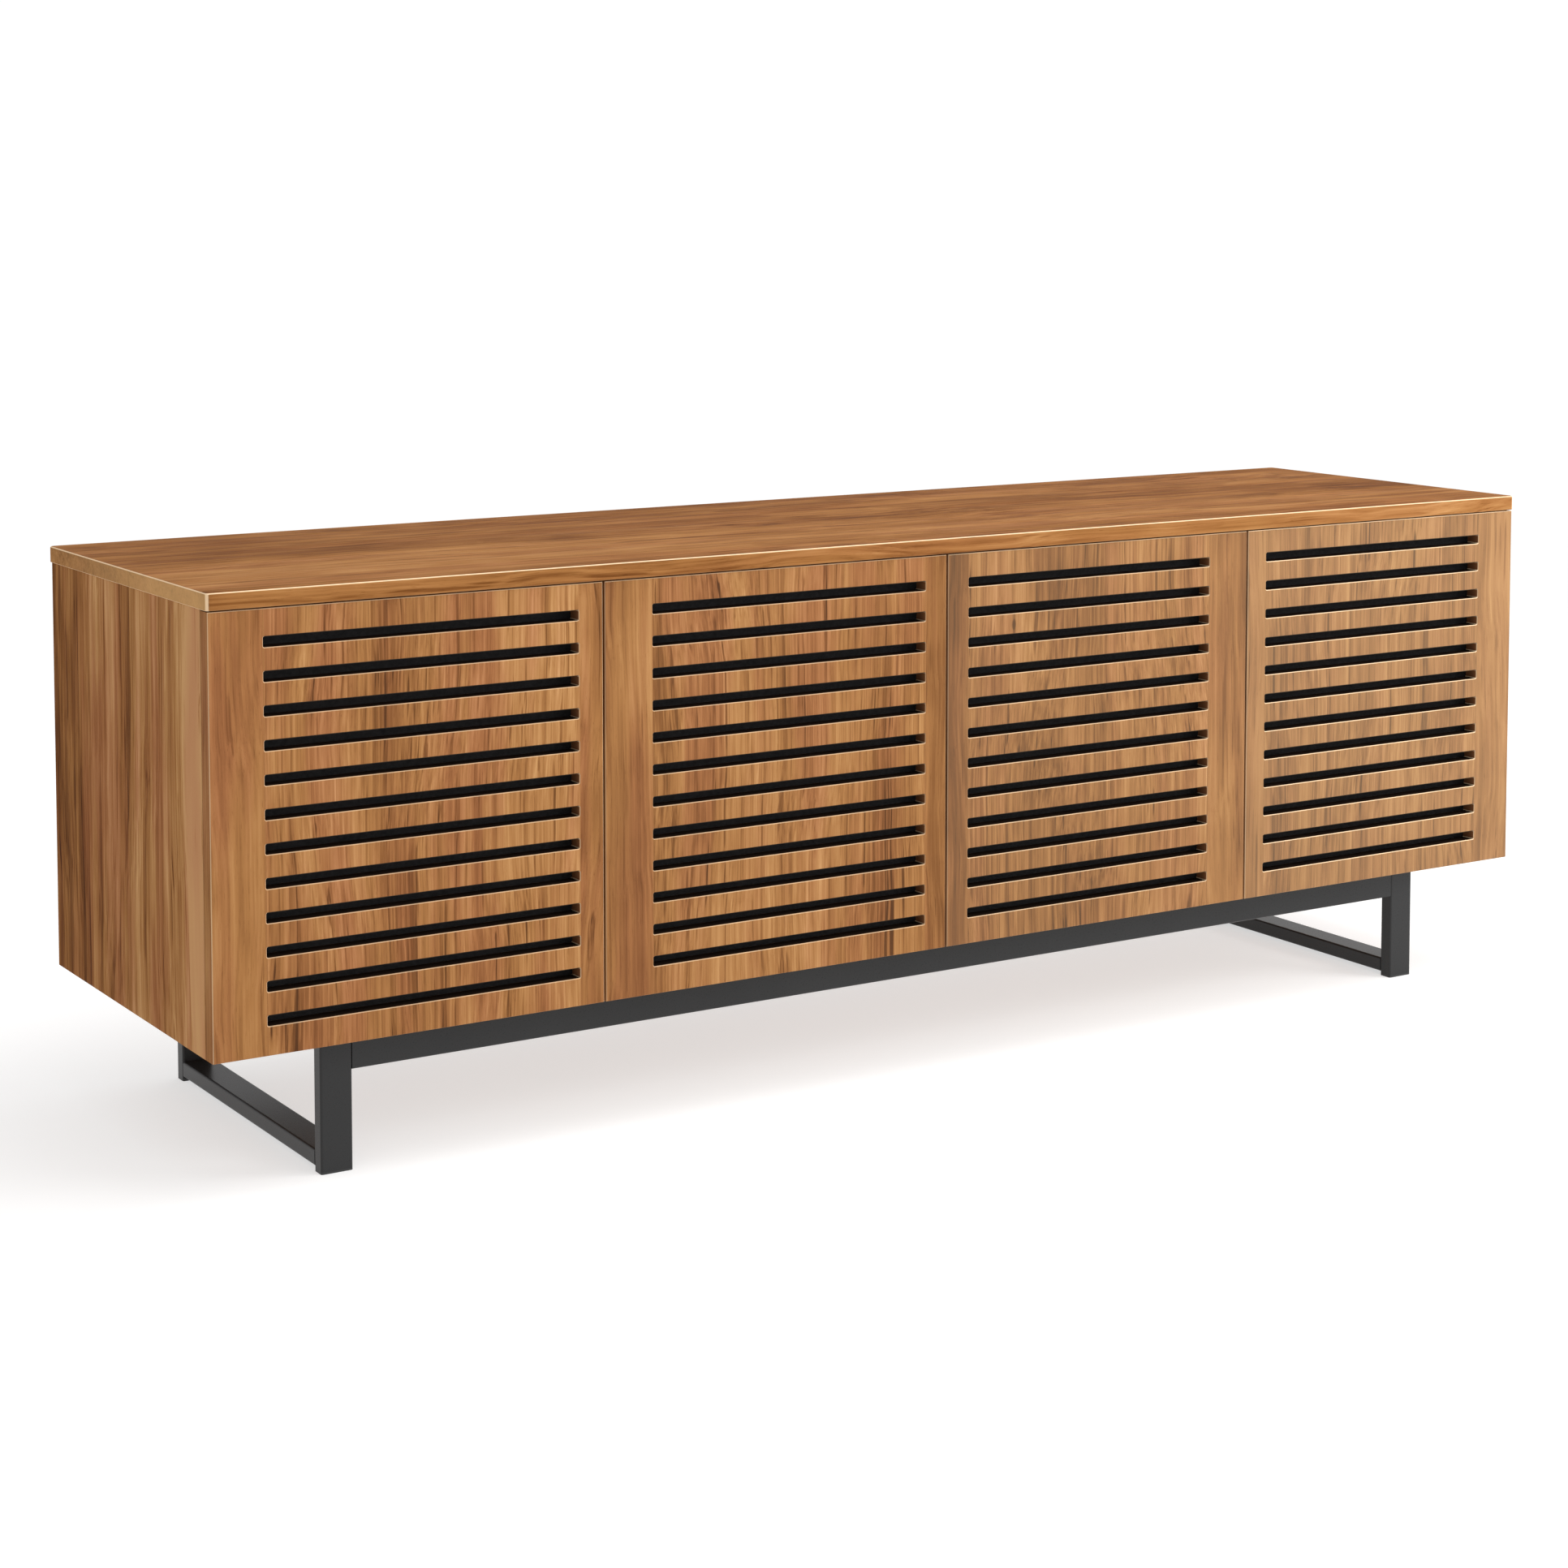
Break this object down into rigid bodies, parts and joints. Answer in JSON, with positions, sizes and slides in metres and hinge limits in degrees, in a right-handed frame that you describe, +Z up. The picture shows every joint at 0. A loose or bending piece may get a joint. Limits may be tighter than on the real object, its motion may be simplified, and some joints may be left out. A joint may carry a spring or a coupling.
{
  "type": "media cabinet",
  "caption": "Low media cabinet with slotted hinged doors over shelved bays, on a rectangular steel sled base.",
  "frame": {"origin": "on the floor, under the middle of the top panel", "axes": "+X along the width, to the right seen from the front; -Y is the front, where the doors are; +Z up"},
  "size_m": [1.803, 0.475, 0.625],
  "materials": {
    "top_veneer": "satin",
    "door_veneer": "satin",
    "carcass_veneer": "satin",
    "back_board": "matte",
    "dowel_wood": "matte",
    "powder_coated_steel": "satin",
    "zinc_steel": "satin",
    "speaker_cloth": "matte",
    "black_plastic": "matte",
    "bumper_rubber": "matte"
  },
  "bodies": {
    "cabinet": {"top_panel": "top_veneer", "bottom_panel": "carcass_veneer", "left_side_panel": "carcass_veneer", "right_side_panel": "carcass_veneer", "left_divider": "carcass_veneer", "right_divider": "carcass_veneer", "left_back_panel": "back_board", "centre_back_panel": "back_board", "right_back_panel": "back_board", "left_shelf": "carcass_veneer", "centre_shelf": "carcass_veneer", "right_shelf": "carcass_veneer", "shelf_pins": "zinc_steel", "cam_locks": "zinc_steel", "cam_bolts": "zinc_steel", "base_screws": "zinc_steel", "hinge_plates": "zinc_steel", "hinge_arms": "zinc_steel", "hinge_pins": "zinc_steel", "hinge_screws": "zinc_steel", "front_rail": "powder_coated_steel", "rear_rail": "powder_coated_steel", "front_left_post": "powder_coated_steel", "front_right_post": "powder_coated_steel", "rear_left_post": "powder_coated_steel", "rear_right_post": "powder_coated_steel", "left_runner": "powder_coated_steel", "right_runner": "powder_coated_steel", "left_top_bar": "powder_coated_steel", "right_top_bar": "powder_coated_steel", "dowels": "dowel_wood", "foot_caps": "black_plastic", "latch_housings": "black_plastic"},
    "left_door": {"left_door_panel": "door_veneer", "left_door_cloth": "speaker_cloth", "left_hinge_cups": "zinc_steel", "left_door_bumpers": "bumper_rubber"},
    "left_links": {"left_hinge_links": "zinc_steel"},
    "left_plunger": {"left_latch_plunger": "black_plastic"},
    "centre_left_door": {"centre_left_door_panel": "door_veneer", "centre_left_door_cloth": "speaker_cloth", "centre_left_hinge_cups": "zinc_steel", "centre_left_door_bumpers": "bumper_rubber"},
    "centre_left_links": {"centre_left_hinge_links": "zinc_steel"},
    "centre_left_plunger": {"centre_left_latch_plunger": "black_plastic"},
    "centre_right_door": {"centre_right_door_panel": "door_veneer", "centre_right_door_cloth": "speaker_cloth", "centre_right_hinge_cups": "zinc_steel", "centre_right_door_bumpers": "bumper_rubber"},
    "centre_right_links": {"centre_right_hinge_links": "zinc_steel"},
    "centre_right_plunger": {"centre_right_latch_plunger": "black_plastic"},
    "right_door": {"right_door_panel": "door_veneer", "right_door_cloth": "speaker_cloth", "right_hinge_cups": "zinc_steel", "right_door_bumpers": "bumper_rubber"},
    "right_links": {"right_hinge_links": "zinc_steel"},
    "right_plunger": {"right_latch_plunger": "black_plastic"}
  },
  "joints": [
    {"name": "left_door_swing", "type": "hinge", "parent": "cabinet", "child": "left_door", "pos_m": [-0.89375, -0.231, 0.3125], "axis": [0, 0, -1], "range_deg": [0, 95]},
    {"name": "left_link_turn", "type": "hinge", "parent": "cabinet", "child": "left_links", "pos_m": [-0.87675, -0.2175, 0.3125], "axis": [0, 0, -1], "range_deg": [0, 58]},
    {"name": "left_plunger_push", "type": "slide", "parent": "cabinet", "child": "left_plunger", "axis": [0, -1, 0], "range_m": [0, 0.0205]},
    {"name": "centre_left_door_swing", "type": "hinge", "parent": "cabinet", "child": "centre_left_door", "pos_m": [-0.44325, -0.231, 0.3125], "axis": [0, 0, -1], "range_deg": [0, 95]},
    {"name": "centre_left_link_turn", "type": "hinge", "parent": "cabinet", "child": "centre_left_links", "pos_m": [-0.42625, -0.2175, 0.3125], "axis": [0, 0, -1], "range_deg": [0, 58]},
    {"name": "centre_left_plunger_push", "type": "slide", "parent": "cabinet", "child": "centre_left_plunger", "axis": [0, -1, 0], "range_m": [0, 0.0205]},
    {"name": "centre_right_door_swing", "type": "hinge", "parent": "cabinet", "child": "centre_right_door", "pos_m": [0.44325, -0.231, 0.3125], "axis": [0, 0, 1], "range_deg": [0, 95]},
    {"name": "centre_right_link_turn", "type": "hinge", "parent": "cabinet", "child": "centre_right_links", "pos_m": [0.42625, -0.2175, 0.3125], "axis": [0, 0, 1], "range_deg": [0, 58]},
    {"name": "centre_right_plunger_push", "type": "slide", "parent": "cabinet", "child": "centre_right_plunger", "axis": [0, -1, 0], "range_m": [0, 0.0205]},
    {"name": "right_door_swing", "type": "hinge", "parent": "cabinet", "child": "right_door", "pos_m": [0.89375, -0.231, 0.3125], "axis": [0, 0, 1], "range_deg": [0, 95]},
    {"name": "right_link_turn", "type": "hinge", "parent": "cabinet", "child": "right_links", "pos_m": [0.87675, -0.2175, 0.3125], "axis": [0, 0, 1], "range_deg": [0, 58]},
    {"name": "right_plunger_push", "type": "slide", "parent": "cabinet", "child": "right_plunger", "axis": [0, -1, 0], "range_m": [0, 0.0205]}
  ],
  "couplings": [
    {"joint": "left_link_turn", "follows": "left_door_swing", "ratio": 0.6},
    {"joint": "left_plunger_push", "follows": "left_door_swing", "m_per_rad": 0.012062},
    {"joint": "centre_left_link_turn", "follows": "centre_left_door_swing", "ratio": 0.6},
    {"joint": "centre_left_plunger_push", "follows": "centre_left_door_swing", "m_per_rad": 0.012062},
    {"joint": "centre_right_link_turn", "follows": "centre_right_door_swing", "ratio": 0.6},
    {"joint": "centre_right_plunger_push", "follows": "centre_right_door_swing", "m_per_rad": 0.012062},
    {"joint": "right_link_turn", "follows": "right_door_swing", "ratio": 0.6},
    {"joint": "right_plunger_push", "follows": "right_door_swing", "m_per_rad": 0.012062}
  ]
}
